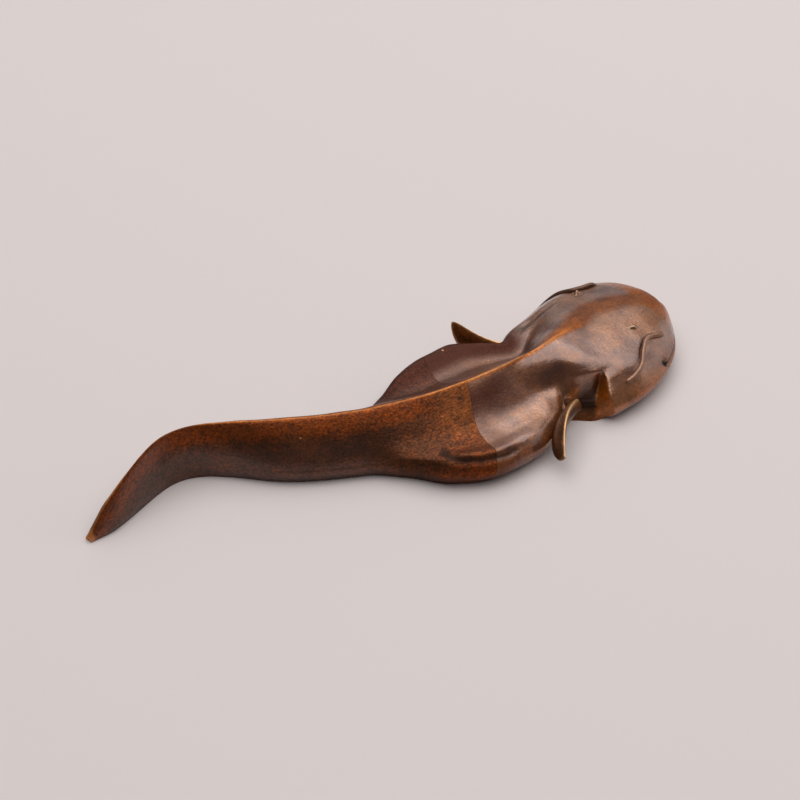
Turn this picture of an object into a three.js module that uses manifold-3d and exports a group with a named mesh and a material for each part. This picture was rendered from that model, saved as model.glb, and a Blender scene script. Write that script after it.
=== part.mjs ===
// Bronze catfish ornament: two castings joined in the belly, with fins, eyes and barbels set into them.
// Millimetres. +X points to the head, +Z is up, and the origin is on the flat underside of the belly.
// A place on the fish is given by s, the distance along the spine from the tail tip, and by t, which
// counts the points of the section outline from the crest (0) down to the edge of the underside (7).
import * as THREE from 'three';
import Module from 'manifold-3d';

const wasm = await Module();
wasm.setup();

// Lengths along the spine
const TAIL_LENGTH = 76;        // tail tip to the casting joint
const BODY_LENGTH = 21.5;      // casting joint to the rear edge of the gill cover
const HEAD_LENGTH = 25.5;      // rear edge of the gill cover to the snout
const SNOUT_LENGTH = 21;       // rounded front of the head
const ORIGIN_AHEAD = 6;        // origin ahead of the casting joint

// The S of the spine: three headings in degrees from +X, and the two turns between them
const TAIL_END_HEADING = 24;
const TAIL_HEADING = -28;
const HEAD_HEADING = 17.3;
const TAIL_TURN_AT = 25;
const TAIL_TURN_SPAN = 22;
const BODY_TURN_AT = 64;
const BODY_TURN_SPAN = 84;

// Widths and heights of the body
const CREST_HEIGHT = 11.9;     // back, from the belly to the nape
const TAIL_HEIGHT = 11.1;      // tail blade
const HEAD_HEIGHT = 11.3;      // flat top of the head
const TAIL_HALF = 6.1;         // half width at the root of the tail
const BELLY_HALF = 16.1;       // half width across the belly lobes
const WAIST_HALF = 10.6;       // half width behind the gills
const CHEEK_HALF = 16;         // half width across the cheeks
const LEFT_BELLY_HALF = 17.1;  // the left side, inside the bend, has its own widths
const LEFT_WAIST_HALF = 10.9;
const LEFT_CHEEK_HALF = 13.8;
const LEFT_SNOUT_HALF = 18.4;
const LIP_HEIGHT = 5;          // height of the snout tip
const SNOUT_FULLNESS = 0.55;   // power of the snout's rounding in height; smaller is blunter

// Section outlines, crest to underside: across in half widths, up in crest heights
const TAIL_OUTLINE = [
  [0, 1], [0.14, 0.94], [0.42, 0.78], [0.66, 0.6], [0.84, 0.44], [0.95, 0.3], [1, 0.18], [0.86, 0],
];
const RIGHT_BELLY = [
  [0, 1], [0.05, 0.93], [0.24, 0.71], [0.44, 0.53], [0.66, 0.5], [0.86, 0.54], [1, 0.27], [0.88, 0],
];
const RIGHT_WAIST = [
  [0, 1], [0.05, 0.93], [0.24, 0.71], [0.46, 0.53], [0.7, 0.46], [0.9, 0.37], [1, 0.2], [0.88, 0],
];
const LEFT_BELLY = [
  [0, 1], [0.05, 0.93], [0.24, 0.71], [0.44, 0.54], [0.66, 0.56], [0.85, 0.6], [1, 0.28], [0.88, 0],
];
const HEAD_OUTLINE = [
  [0, 1], [0.22, 0.97], [0.45, 0.9], [0.65, 0.81], [0.8, 0.7], [0.91, 0.53], [1, 0.28], [0.86, 0],
];
const BELLY_BEGINS = 13.7;     // middle of the change from tail to belly, behind the joint
const BELLY_BLEND = 16;        // length of that change
const WAIST_BEGINS = 8;        // middle of the change from belly to waist on the right, ahead of the joint
const WAIST_BLEND = 12;        // length of that change
const HEAD_BLEND = 14;         // length of the change from belly to head, centred on the gill edge

// Right and left half width and crest height along the fish. The place counts tail tip 0, joint 1,
// gill edge 2, snout 3.
const { degToRad, lerp, smoothstep } = THREE.MathUtils;
const STATIONS = [
  [0, 0.12 * TAIL_HALF, 0.12 * TAIL_HALF, 0.126 * TAIL_HEIGHT],
  [0.07, 0.32 * TAIL_HALF, 0.32 * TAIL_HALF, 0.58 * TAIL_HEIGHT],
  [0.25, 0.18 * TAIL_HALF, 0.18 * TAIL_HALF, 1.06 * TAIL_HEIGHT],
  [0.41, 0.61 * TAIL_HALF, 0.61 * TAIL_HALF, 0.97 * TAIL_HEIGHT],
  [0.57, 0.96 * TAIL_HALF, 0.96 * TAIL_HALF, TAIL_HEIGHT],
  [0.72, 1.02 * TAIL_HALF, 1.02 * TAIL_HALF, lerp(TAIL_HEIGHT, CREST_HEIGHT, 0.25)],
  [0.8, lerp(TAIL_HALF, BELLY_HALF, 0.28), lerp(TAIL_HALF, LEFT_BELLY_HALF, 0.32),
    lerp(TAIL_HEIGHT, CREST_HEIGHT, 0.5)],
  [0.88, lerp(TAIL_HALF, BELLY_HALF, 0.76), lerp(TAIL_HALF, LEFT_BELLY_HALF, 0.71),
    lerp(TAIL_HEIGHT, CREST_HEIGHT, 0.75)],
  [0.97, BELLY_HALF, lerp(TAIL_HALF, LEFT_BELLY_HALF, 0.93), CREST_HEIGHT],
  [1.23, lerp(BELLY_HALF, WAIST_HALF, 0.15), LEFT_BELLY_HALF, CREST_HEIGHT],
  [1.51, lerp(BELLY_HALF, WAIST_HALF, 0.745), lerp(LEFT_BELLY_HALF, LEFT_WAIST_HALF, 0.53), CREST_HEIGHT],
  [1.7, WAIST_HALF, LEFT_WAIST_HALF, CREST_HEIGHT],
  [1.88, lerp(WAIST_HALF, CHEEK_HALF, 0.667), lerp(LEFT_WAIST_HALF, LEFT_CHEEK_HALF, 0.52), CREST_HEIGHT],
  [2.18, CHEEK_HALF, LEFT_CHEEK_HALF, HEAD_HEIGHT],
  [3, CHEEK_HALF, LEFT_SNOUT_HALF, HEAD_HEIGHT],
];
const [RIGHT_COLUMN, LEFT_COLUMN, CREST_COLUMN] = [1, 2, 3];

// Gill cover: behind its edge the skin falls along a facet to a crease, and rises again
const GILL_DEPTH = 3;
const GILL_EDGE = 2.5;         // length of the facet at its top
const GILL_RUN = 1.3;          // how much longer it is at the foot of the cover
const GILL_RETURN = 1.8;       // length of the rise
const GILL_LIFT = 0.3;         // how far the edge stands proud
const GILL_LIP = 2;            // length over which the cover rises to its edge
const GILL_TOP = 3.2;          // outline place where the facet begins
const GILL_FADE = 0.9;         // length of outline over which it deepens
const GILL_FOOT = 5.4;         // outline place where it is longest
const LEFT_GILL = 0.35;        // the left cover is pressed flatter

// Mouth: a groove round the front of the head
const MOUTH_BACK = 11.5;       // mouth corners behind the snout
const MOUTH_BELOW = 0.6;       // below the height of the snout tip
const MOUTH_SPAN = 0.98;       // width of the mouth's curve, in cheek widths
const MOUTH_DEPTH = 0.9;
const MOUTH_OPENING = 0.9;

// Clearance between a set-in piece and its seat
const SEAT_GAP = 0.3;

// Casting joint: a leaning face, a tenon on the tail, and a pin through it from below
const JOINT_LEAN = 19;         // degrees, crest forward
const JOINT_MIDDLE = 13.35;    // height at which the face would cross the joint station
const TENON_WIDTH = 9;
const TENON_HEIGHT = 4.4;
const TENON_FLOOR = 1.6;       // height of the tenon's lower face
const TENON_REACH = 10;        // tenon's end ahead of the joint station
const TENON_ROOT = 12;         // tenon's root behind the joint station
const PIN_RADIUS = 1.2;
const PIN_AHEAD = 2;           // pin ahead of the joint station
const PIN_HEIGHT = 7;          // top of the pin above the underside

// Eyes: beads on stems, seated at a distance behind the snout and an outline place
const EYE_LEFT = [12.6, 2.75];
const EYE_RIGHT = [13.1, 1.8];
const EYE_RADIUS = 1.25;
const EYE_DOME = 0.5;
const EYE_BED = 0.4;           // depth of the bead's underside below the skin
const STEM_RADIUS = 0.6;
const STEM_LENGTH = 1.8;

// Barbels: tapered wires bedded in grooves from the lip to the cheek, as distance behind the snout and place
const BARBEL_ROUTE = [
  [9.1, 3.65], [11.6, 3.1], [13.2, 3.05], [15.4, 3.45], [18, 4.2], [20.4, 4.5], [22.5, 4.58],
];
const LEFT_BARBEL_DROP = 0.6;  // outline places by which the left one sits lower
const BARBEL_ROOT_RADIUS = 0.55;
const BARBEL_TIP_RADIUS = 0.35;
const BARBEL_LIFT = 0.1;       // axis above the skin
const BARBEL_PEG = 1.2;        // the peg at the lip reaches this far forward and this deep
const BARBEL_POINT = 0.2;      // length of the point at each end

// Pectoral fins: upright leaf blades hung from a bowed top edge. Start, bow and tip of the edge, and the
// chord from the edge to the bottom, are [back, out, up] from the seat. Then where the blade is widest,
// root 0 to tip 1, how blunt its end is, and where along the chord it closes there.
const FIN_BEHIND = 5.5;        // seat behind the gill edge
const FIN_INSET = 1;           // seat inside the waist
const FIN_RISE = 0.555;        // height of the seat, in crest heights
const FIN_RIGHT = {
  start: [0.1, 0.9, -0.8], bow: [7.2, 3.9, 3.2], tip: [11.5, 9.9, -2.2], chord: [2.9, -0.5, -4.3],
  widest: 0.4, blunt: 1.8, hinge: 0,
};
const FIN_LEFT = {
  start: [0.2, 0, -0.2], bow: [2.6, 3.6, 0], tip: [5.7, 8.1, 3.1], chord: [-0.2, -0.4, -6.2],
  widest: 0.8, blunt: 2.4, hinge: 0.2,
};
const FIN_ROOT_CHORD = 0.5;          // chord at the root, in widest chords
const FIN_ROOT_THICK = 1.6;
const FIN_TIP_THICK = 0.9;
const FIN_TENON = [0, -2.2, -1.2];   // from the root to the end of the tenon inside the body

// Facets
const SPINE_STEP = 0.25;
const OUTLINE_STEPS = 3;       // points of a ring for each point of the outline
const TAIL_RINGS = 14;
const BELLY_RINGS = 13;
const GILL_RINGS = 9;
const CHEEK_RINGS = 3;
const SNOUT_RINGS = 12;
const MOUTH_RINGS = 20;
const BARBEL_RINGS = 2;        // for each point of the route
const BARBEL_SIDES = 8;
const FIN_RINGS = 5;           // on each side of the widest chord
const FIN_SIDES = 12;
const EYE_RINGS = 4;
const EYE_SIDES = 14;
const PIN_SIDES = 20;
const CORNER_SIDES = 4;
const POINT_GRID = 1e-4;       // points that round to one step of this grid are one point

const JOINT_AT = TAIL_LENGTH;
const GILL_AT = JOINT_AT + BODY_LENGTH;
const SNOUT_AT = GILL_AT + HEAD_LENGTH;
const SNOUT_FROM = SNOUT_AT - SNOUT_LENGTH;
const LAST_PLACE = TAIL_OUTLINE.length - 1;

// Share of a change that is done at s, when the change is centred on a place and has a length
function change(s, at, span) {
  return smoothstep(s, at - span / 2, at + span / 2);
}

function heading(s) {
  const tailTurn = (TAIL_HEADING - TAIL_END_HEADING) * change(s, TAIL_TURN_AT, TAIL_TURN_SPAN);
  const bodyTurn = (HEAD_HEADING - TAIL_HEADING) * change(s, BODY_TURN_AT, BODY_TURN_SPAN);
  return degToRad(TAIL_END_HEADING + tailTurn + bodyTurn);
}

// The spine is walked in short steps along its heading, from the tail tip past the snout
const trail = [new THREE.Vector3()];
while (trail.length * SPINE_STEP < SNOUT_AT) {
  const h = heading((trail.length - 0.5) * SPINE_STEP);
  const step = new THREE.Vector3(Math.cos(h), Math.sin(h), 0).multiplyScalar(SPINE_STEP);
  trail.push(step.add(trail[trail.length - 1]));
}

function trailPoint(s) {
  const i = Math.min(Math.max(Math.floor(s / SPINE_STEP), 0), trail.length - 2);
  return trail[i].clone().lerp(trail[i + 1], s / SPINE_STEP - i);
}

const origin = trailPoint(JOINT_AT + ORIGIN_AHEAD);

// World point at s along the spine, a distance to the fish's left, and a height
function place(s, left, up) {
  const h = heading(s);
  const p = trailPoint(s).sub(origin);
  return new THREE.Vector3(p.x - Math.sin(h) * left, p.y + Math.cos(h) * left, up);
}

// Monotone cubic through the values of one column of the station table
function along(s, column) {
  const marks = [0, JOINT_AT, GILL_AT, SNOUT_AT];
  const xs = STATIONS.map(([place]) => {
    const part = Math.min(Math.floor(place), 2);
    return lerp(marks[part], marks[part + 1], place - part);
  });
  const ys = STATIONS.map((row) => row[column]);
  const slope = (i) => (ys[i + 1] - ys[i]) / (xs[i + 1] - xs[i]);
  const tangent = (i) => {
    if (i === 0) return slope(0);
    if (i === xs.length - 1) return slope(i - 1);
    const a = slope(i - 1);
    const b = slope(i);
    if (a * b <= 0) return 0;
    const wa = 2 * (xs[i + 1] - xs[i]) + xs[i] - xs[i - 1];
    const wb = xs[i + 1] - xs[i] + 2 * (xs[i] - xs[i - 1]);
    return (wa + wb) / (wa / a + wb / b);
  };
  const x = Math.min(Math.max(s, 0), SNOUT_AT);
  let i = 0;
  while (i < xs.length - 2 && x > xs[i + 1]) i += 1;
  const h = xs[i + 1] - xs[i];
  const f = (x - xs[i]) / h;
  const rise = h * (tangent(i) * f * (1 - f) ** 2 - tangent(i + 1) * f * f * (1 - f));
  return lerp(ys[i], ys[i + 1], f * f * (3 - 2 * f)) + rise;
}

// How far the skin is pressed in behind the gill edge, and lifted ahead of it
function gillRecess(s, t, side) {
  const grown = smoothstep(t, GILL_TOP, GILL_TOP + GILL_FADE) * (side > 0 ? LEFT_GILL : 1);
  const deep = grown * (1 - smoothstep(t, LAST_PLACE - GILL_FADE, LAST_PLACE));
  const behind = GILL_AT - s;
  if (behind < 0) return -deep * GILL_LIFT * (1 - smoothstep(-behind, 0, GILL_LIP));
  const run = lerp(GILL_EDGE, GILL_EDGE + GILL_RUN, smoothstep(t, GILL_TOP, GILL_FOOT));
  const fall = Math.min(behind / run, 1);
  const rise = smoothstep(behind, run, run + GILL_RETURN);
  return deep * (GILL_DEPTH * fall * (1 - rise) - GILL_LIFT * (1 - fall));
}

// Point of the half section at s without the gill: x is the distance from the spine, y is the height
function plainSection(s, t, side) {
  const belly = change(s, JOINT_AT - BELLY_BEGINS, BELLY_BLEND);
  const waist = change(s, JOINT_AT + WAIST_BEGINS, WAIST_BLEND);
  const head = change(s, GILL_AT, HEAD_BLEND);
  const outline = TAIL_OUTLINE.map((p, i) => {
    const point = new THREE.Vector2(...RIGHT_BELLY[i]).lerp(new THREE.Vector2(...RIGHT_WAIST[i]), waist);
    if (side > 0) point.fromArray(LEFT_BELLY[i]);
    return new THREE.Vector2(...p).lerp(point, belly).lerp(new THREE.Vector2(...HEAD_OUTLINE[i]), head);
  });
  const p = new THREE.SplineCurve(outline).getPoint(t / LAST_PLACE);
  const ahead = Math.min(Math.max((s - SNOUT_FROM) / SNOUT_LENGTH, 0), 1);
  const round = Math.sqrt(1 - ahead * ahead);
  p.x *= along(s, side > 0 ? LEFT_COLUMN : RIGHT_COLUMN) * round;
  p.y = LIP_HEIGHT + (Math.max(p.y, 0) * along(s, CREST_COLUMN) - LIP_HEIGHT) * round ** SNOUT_FULLNESS;
  return p;
}

// Point of the half section, with the gill pressed in across the outline
function sectionPoint(s, t, side) {
  const p = plainSection(s, t, side);
  const recess = gillRecess(s, t, side);
  if (recess === 0) return p;
  const step = 0.1;
  const down = plainSection(s, t + step, side).sub(plainSection(s, t - step, side)).normalize();
  return p.add(new THREE.Vector2(down.y, -down.x).multiplyScalar(recess));
}

// Point of the skin; side is 1 on the fish's left and -1 on its right
function skin(s, t, side) {
  const p = sectionPoint(s, t, side);
  return place(s, side * p.x, p.y);
}

// Frame on the skin: Z outwards, X forwards along the fish
function seat(s, t, side) {
  const step = 0.2;
  const forward = skin(s + step, t, side).sub(skin(s - step, t, side)).normalize();
  const down = skin(s, t + step, side).sub(skin(s, t - step, side));
  const out = forward.clone().cross(down).multiplyScalar(side).normalize();
  const frame = new THREE.Matrix4().makeBasis(forward, out.clone().cross(forward), out);
  return frame.setPosition(skin(s, t, side));
}

// Closed body through rings of equally many points, with a fan to a middle point at each end
function loft(rings, firstTip, lastTip) {
  const n = rings[0].length;
  const points = [...rings.flat(), firstTip, lastTip];
  const index = [];
  rings.forEach((ring, r) => ring.forEach((_, i) => {
    const j = (i + 1) % n;
    const a = r * n;
    if (r === 0) index.push(points.length - 2, i, j);
    if (r === rings.length - 1) index.push(points.length - 1, a + j, a + i);
    else index.push(a + i, a + n + j, a + j, a + i, a + n + i, a + n + j);
  }));
  const geometry = new THREE.BufferGeometry().setFromPoints(points);
  geometry.setIndex(index);
  return geometry;
}

function middle(ring) {
  return ring.reduce((sum, p) => sum.add(p), new THREE.Vector3()).divideScalar(ring.length);
}

function spread(from, to, count) {
  return Array.from({ length: count }, (_, i) => lerp(from, to, i / count));
}

// Joins and cuts
function solid(geometry, matrix = new THREE.Matrix4()) {
  const { array, count } = geometry.attributes.position;
  const v = new THREE.Vector3();
  const keys = new Map();
  const vertices = [];
  const merged = Array.from({ length: count }, (_, i) => {
    v.fromArray(array, i * 3).applyMatrix4(matrix);
    const key = v.toArray().map((c) => Math.round(c / POINT_GRID)).join();
    if (!keys.has(key)) {
      keys.set(key, vertices.length / 3);
      vertices.push(v.x, v.y, v.z);
    }
    return keys.get(key);
  });
  const corners = geometry.index ? Array.from(geometry.index.array, (i) => merged[i]) : merged;
  const faces = [];
  for (let i = 0; i < corners.length; i += 3) {
    const [a, b, c] = corners.slice(i, i + 3);
    if (a !== b && b !== c && c !== a) faces.push(a, b, c);
  }
  return new wasm.Manifold(new wasm.Mesh({
    numProp: 3, vertProperties: new Float32Array(vertices), triVerts: new Uint32Array(faces),
  }));
}

function surface(body) {
  const { vertProperties, triVerts } = body.getMesh();
  const geometry = new THREE.BufferGeometry();
  geometry.setAttribute('position', new THREE.BufferAttribute(vertProperties, 3));
  geometry.setIndex(new THREE.BufferAttribute(triVerts, 1));
  return geometry;
}

// Whole skin of the fish, tail tip to snout
function bodySkin() {
  const lobesFrom = JOINT_AT - BELLY_BEGINS - BELLY_BLEND / 2;
  const gillFrom = GILL_AT - GILL_EDGE - GILL_RUN - GILL_RETURN;
  const stations = [
    ...spread(0, lobesFrom, TAIL_RINGS),
    ...spread(lobesFrom, gillFrom, BELLY_RINGS),
    ...spread(gillFrom, GILL_AT, GILL_RINGS),
    ...spread(GILL_AT, SNOUT_FROM, CHEEK_RINGS),
    ...spread(0, Math.PI / 2, SNOUT_RINGS).map((a) => SNOUT_FROM + SNOUT_LENGTH * Math.sin(a)),
  ];
  const places = spread(0, LAST_PLACE, LAST_PLACE * OUTLINE_STEPS);
  const ring = (s) => [
    ...places.map((t) => skin(s, t, 1)),
    skin(s, LAST_PLACE, 1),
    skin(s, LAST_PLACE, -1),
    ...places.slice(1).reverse().map((t) => skin(s, t, -1)),
  ];
  const rings = stations.map(ring);
  return loft(rings, middle(rings[0]), place(SNOUT_AT, 0, LIP_HEIGHT));
}

// Groove with a V section round the front of the head, from one mouth corner to the other
function mouthGroove() {
  const cornerAngle = Math.acos((SNOUT_LENGTH - MOUTH_BACK) / SNOUT_LENGTH);
  const angles = [...spread(-cornerAngle, cornerAngle, MOUTH_RINGS), cornerAngle];
  const outside = 2 * MOUTH_DEPTH;
  const opening = (MOUTH_OPENING / 2) * (1 + outside / MOUTH_DEPTH);
  const rings = angles.map((a) => {
    const s = SNOUT_FROM + SNOUT_LENGTH * Math.cos(a);
    const half = MOUTH_SPAN * along(s, a > 0 ? LEFT_COLUMN : RIGHT_COLUMN);
    const across = new THREE.Vector2(Math.cos(a) / SNOUT_LENGTH, Math.sin(a) / half).normalize();
    const point = (out, up) => place(
      s + across.x * out,
      half * Math.sin(a) + across.y * out,
      LIP_HEIGHT - MOUTH_BELOW + up,
    );
    return [point(-MOUTH_DEPTH, 0), point(outside, -opening), point(outside, opening)];
  });
  return loft(rings, middle(rings[0]), middle(rings[rings.length - 1]));
}

// Casting joint
const jointFrame = new THREE.Matrix4().makeRotationZ(heading(JOINT_AT));
jointFrame.setPosition(place(JOINT_AT, 0, 0));

// Half space ahead of (1) or behind (-1) the leaning face, moved forward by a distance
function jointHalf(direction, shift) {
  const size = 2 * (TAIL_LENGTH + BODY_LENGTH + HEAD_LENGTH);
  const box = new THREE.BoxGeometry(size, size, size);
  box.translate((direction * size) / 2 + shift, 0, 0);
  box.rotateY(degToRad(JOINT_LEAN));
  box.translate(0, 0, JOINT_MIDDLE);
  return solid(box, jointFrame);
}

// Round-cornered bar along the joint's axis; grow makes the mortise for it
function tenon(grow) {
  const w = TENON_WIDTH / 2 + grow;
  const h = TENON_HEIGHT / 2 + grow;
  const r = TENON_HEIGHT / 4 + grow;
  const outline = new THREE.Shape();
  outline.moveTo(w - r, -h);
  outline.absarc(w - r, r - h, r, -Math.PI / 2, 0);
  outline.absarc(w - r, h - r, r, 0, Math.PI / 2);
  outline.absarc(r - w, h - r, r, Math.PI / 2, Math.PI);
  outline.absarc(r - w, r - h, r, Math.PI, Math.PI * 1.5);
  const depth = TENON_ROOT + TENON_REACH + grow;
  const shape = { depth, bevelEnabled: false, curveSegments: CORNER_SIDES };
  const bar = new THREE.ExtrudeGeometry(outline, shape);
  bar.rotateX(Math.PI / 2);
  bar.rotateZ(Math.PI / 2);
  bar.translate(-TENON_ROOT, 0, TENON_FLOOR + TENON_HEIGHT / 2);
  return solid(bar, jointFrame);
}

function pinGeometry(grow) {
  const radius = PIN_RADIUS + grow;
  const length = PIN_HEIGHT - SEAT_GAP + 2 * grow;
  return new THREE.CylinderGeometry(radius, radius, length, PIN_SIDES).rotateX(Math.PI / 2);
}

const pinPlace = new THREE.Matrix4().makeTranslation(PIN_AHEAD, 0, (PIN_HEIGHT + SEAT_GAP) / 2);
pinPlace.premultiply(jointFrame);

// Body turned about Z from a profile of radius and height
function turned(profile) {
  const points = profile.map(([radius, up]) => new THREE.Vector2(radius, up));
  return new THREE.LatheGeometry(points, EYE_SIDES).rotateX(Math.PI / 2);
}

// Eyes
function eyeGeometry() {
  const foot = -EYE_BED - STEM_LENGTH;
  const stem = [[0, foot], [STEM_RADIUS, foot], [STEM_RADIUS, -EYE_BED], [EYE_RADIUS, -EYE_BED]];
  const angles = spread(0, Math.PI / 2, EYE_RINGS);
  const dome = angles.map((a) => [EYE_RADIUS * Math.cos(a), EYE_DOME * Math.sin(a)]);
  return turned([...stem, ...dome, [0, EYE_DOME]]);
}

function eyeSocket() {
  const bore = STEM_RADIUS + SEAT_GAP;
  const bed = EYE_RADIUS + SEAT_GAP;
  const floor = -EYE_BED - SEAT_GAP;
  const foot = floor - STEM_LENGTH;
  const top = EYE_RADIUS + EYE_DOME;
  return turned([[0, foot], [bore, foot], [bore, floor], [bed, floor], [bed, top], [0, top]]);
}

// Barbel wire; grow makes the groove that it beds in
function barbel(side, grow) {
  const drop = side > 0 ? LEFT_BARBEL_DROP : 0;
  const seats = BARBEL_ROUTE.map(([back, t]) => seat(SNOUT_AT - back, t + drop, side));
  const peg = new THREE.Vector3(BARBEL_PEG, 0, -BARBEL_PEG).applyMatrix4(seats[0]);
  const points = [peg, ...seats.map((frame) => new THREE.Vector3(0, 0, BARBEL_LIFT).applyMatrix4(frame))];
  const route = new THREE.CatmullRomCurve3(points, false, 'centripetal');
  const count = BARBEL_RINGS * points.length;
  const out = new THREE.Vector3().setFromMatrixColumn(seats[Math.floor(seats.length / 2)], 2);
  const rings = [...spread(0, 1, count), 1].map((u) => {
    const axis = route.getTangentAt(u);
    const across = axis.clone().cross(out).normalize();
    const upright = across.clone().cross(axis);
    const radius = lerp(BARBEL_ROOT_RADIUS, BARBEL_TIP_RADIUS, u) + grow;
    return spread(0, 2 * Math.PI, BARBEL_SIDES).map((a) => route.getPointAt(u)
      .addScaledVector(across, radius * Math.cos(a))
      .addScaledVector(upright, radius * Math.sin(a)));
  });
  const past = (u, reach) => route.getPointAt(u).addScaledVector(route.getTangentAt(u), reach);
  return loft(rings, past(0, -BARBEL_POINT - grow), past(1, BARBEL_POINT + grow));
}

// Pectoral fin in the frame of its seat: X forward along the fish, Y left, Z up; grow makes the slot
function fin(pose, side, grow) {
  const vector = ([back, out, up]) => new THREE.Vector3(-back, side * out, up);
  const edge = new THREE.QuadraticBezierCurve3(vector(pose.start), vector(pose.bow), vector(pose.tip));
  const chord = vector(pose.chord);
  const tenon = vector(FIN_TENON);
  const section = (u, inside) => {
    const past = Math.max(u - pose.widest, 0) / (1 - pose.widest);
    const closing = (1 - past ** pose.blunt) ** (1 / pose.blunt);
    const width = lerp(FIN_ROOT_CHORD, 1, smoothstep(u, 0, pose.widest)) * closing;
    const thick = lerp(FIN_ROOT_THICK, FIN_TIP_THICK, u) * Math.sqrt(closing);
    const centre = edge.getPoint(u).addScaledVector(chord, width / 2 + pose.hinge * (1 - closing));
    centre.addScaledVector(tenon, inside);
    const across = chord.clone().cross(edge.getTangent(u)).normalize();
    const half = (chord.length() / 2) * width + grow;
    return spread(0, 2 * Math.PI, FIN_SIDES).map((a) => centre.clone()
      .addScaledVector(chord.clone().normalize(), half * Math.cos(a))
      .addScaledVector(across, (thick / 2 + grow) * Math.sin(a)));
  };
  const places = [
    ...spread(0, pose.widest, FIN_RINGS),
    ...spread(0, Math.PI / 2, FIN_RINGS).map((a) => lerp(pose.widest, 1, Math.sin(a))),
  ];
  const rings = [section(0, 1 + grow / tenon.length()), ...places.map((u) => section(u, 0))];
  const end = edge.getPoint(1).addScaledVector(chord, pose.hinge).addScaledVector(edge.getTangent(1), grow);
  return loft(rings, middle(rings[0]), end);
}

function finFrame(side) {
  const s = GILL_AT - FIN_BEHIND;
  const root = place(s, side * (WAIST_HALF - FIN_INSET), FIN_RISE * CREST_HEIGHT);
  return new THREE.Matrix4().makeRotationZ(heading(s)).setPosition(root);
}

// Assembly
const BRONZE = { metalness: 0.75, roughness: 0.42 };
const FINISH = {
  trunk: { color: '#5b3d30', ...BRONZE },
  tail: { color: '#5e3216', ...BRONZE },
  fin: { color: '#6b4322', ...BRONZE },
  wire: { color: '#7a543c', ...BRONZE },
  bead: { color: '#8a6040', ...BRONZE, roughness: 0.3 },
};

function piece(name, geometry, finish, matrix = new THREE.Matrix4()) {
  const mesh = new THREE.Mesh(geometry, new THREE.MeshStandardMaterial(finish));
  mesh.name = name;
  matrix.decompose(mesh.position, mesh.quaternion, mesh.scale);
  return mesh;
}

const body = solid(bodySkin()).subtract(solid(mouthGroove()));
const pinHole = solid(pinGeometry(SEAT_GAP), pinPlace);
let trunk = body.subtract(jointHalf(-1, SEAT_GAP / 2)).subtract(tenon(SEAT_GAP)).subtract(pinHole);
const tail = body.subtract(jointHalf(1, -SEAT_GAP / 2)).add(tenon(0)).subtract(pinHole);

const fish = new THREE.Group();
const SIDES = [['left', 1, FIN_LEFT, EYE_LEFT], ['right', -1, FIN_RIGHT, EYE_RIGHT]];
for (const [name, side, pose, [eyeBack, eyePlace]] of SIDES) {
  const eyeSeat = seat(SNOUT_AT - eyeBack, eyePlace, side);
  const finSeat = finFrame(side);
  trunk = trunk.subtract(solid(eyeSocket(), eyeSeat));
  trunk = trunk.subtract(solid(barbel(side, SEAT_GAP)));
  trunk = trunk.subtract(solid(fin(pose, side, SEAT_GAP), finSeat));
  fish.add(piece(`${name}_eye`, eyeGeometry(), FINISH.bead, eyeSeat));
  fish.add(piece(`${name}_barbel`, barbel(side, 0), FINISH.wire));
  fish.add(piece(`${name}_pectoral_fin`, fin(pose, side, 0), FINISH.fin, finSeat));
}
fish.add(piece('trunk_casting', surface(trunk), FINISH.trunk));
fish.add(piece('tail_casting', surface(tail), FINISH.tail));
fish.add(piece('tail_joint_pin', pinGeometry(0), FINISH.wire, pinPlace));

export default fish;
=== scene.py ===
import bpy
import numpy as np
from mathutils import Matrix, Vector


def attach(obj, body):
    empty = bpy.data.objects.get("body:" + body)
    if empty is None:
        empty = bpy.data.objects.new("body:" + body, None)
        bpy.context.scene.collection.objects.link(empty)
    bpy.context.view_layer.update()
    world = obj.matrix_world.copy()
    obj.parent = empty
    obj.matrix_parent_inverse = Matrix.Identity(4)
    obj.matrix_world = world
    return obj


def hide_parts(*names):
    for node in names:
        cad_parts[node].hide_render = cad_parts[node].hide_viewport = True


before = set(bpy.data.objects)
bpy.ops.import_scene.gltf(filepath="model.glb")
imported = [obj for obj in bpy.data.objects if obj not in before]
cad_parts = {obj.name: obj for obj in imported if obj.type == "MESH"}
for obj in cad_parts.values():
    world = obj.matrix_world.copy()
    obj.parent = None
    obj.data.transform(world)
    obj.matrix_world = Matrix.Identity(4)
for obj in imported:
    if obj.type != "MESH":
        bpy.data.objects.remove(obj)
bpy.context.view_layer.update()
MM = 0.001

# Lengths along the spine
JOINT_AT = 76.0
GILL_AT = JOINT_AT + 21.5
SNOUT_AT = GILL_AT + 25.5
SNOUT_LENGTH = 21.0
SNOUT_FROM = SNOUT_AT - SNOUT_LENGTH
ORIGIN_AT = JOINT_AT + 6.0

# The S of the spine: headings in degrees, and the middle and length of each turn
TAIL_END_HEADING, TAIL_HEADING, HEAD_HEADING = 24.0, -28.0, 17.3
TAIL_TURN = (25.0, 22.0)
BODY_TURN = (64.0, 84.0)

# Heights, and half widths, right and left where they differ
CREST, TAIL_HEIGHT, HEAD_HEIGHT, LIP = 11.9, 11.1, 11.3, 5.0
TAIL_HALF = 6.1
BELLY_HALF, WAIST_HALF, CHEEK_HALF = np.array([(16.1, 17.1), (10.6, 10.9), (16.0, 13.8)])
SNOUT_HALF = np.array([16.0, 18.4])
SNOUT_FULLNESS = 0.55

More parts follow.
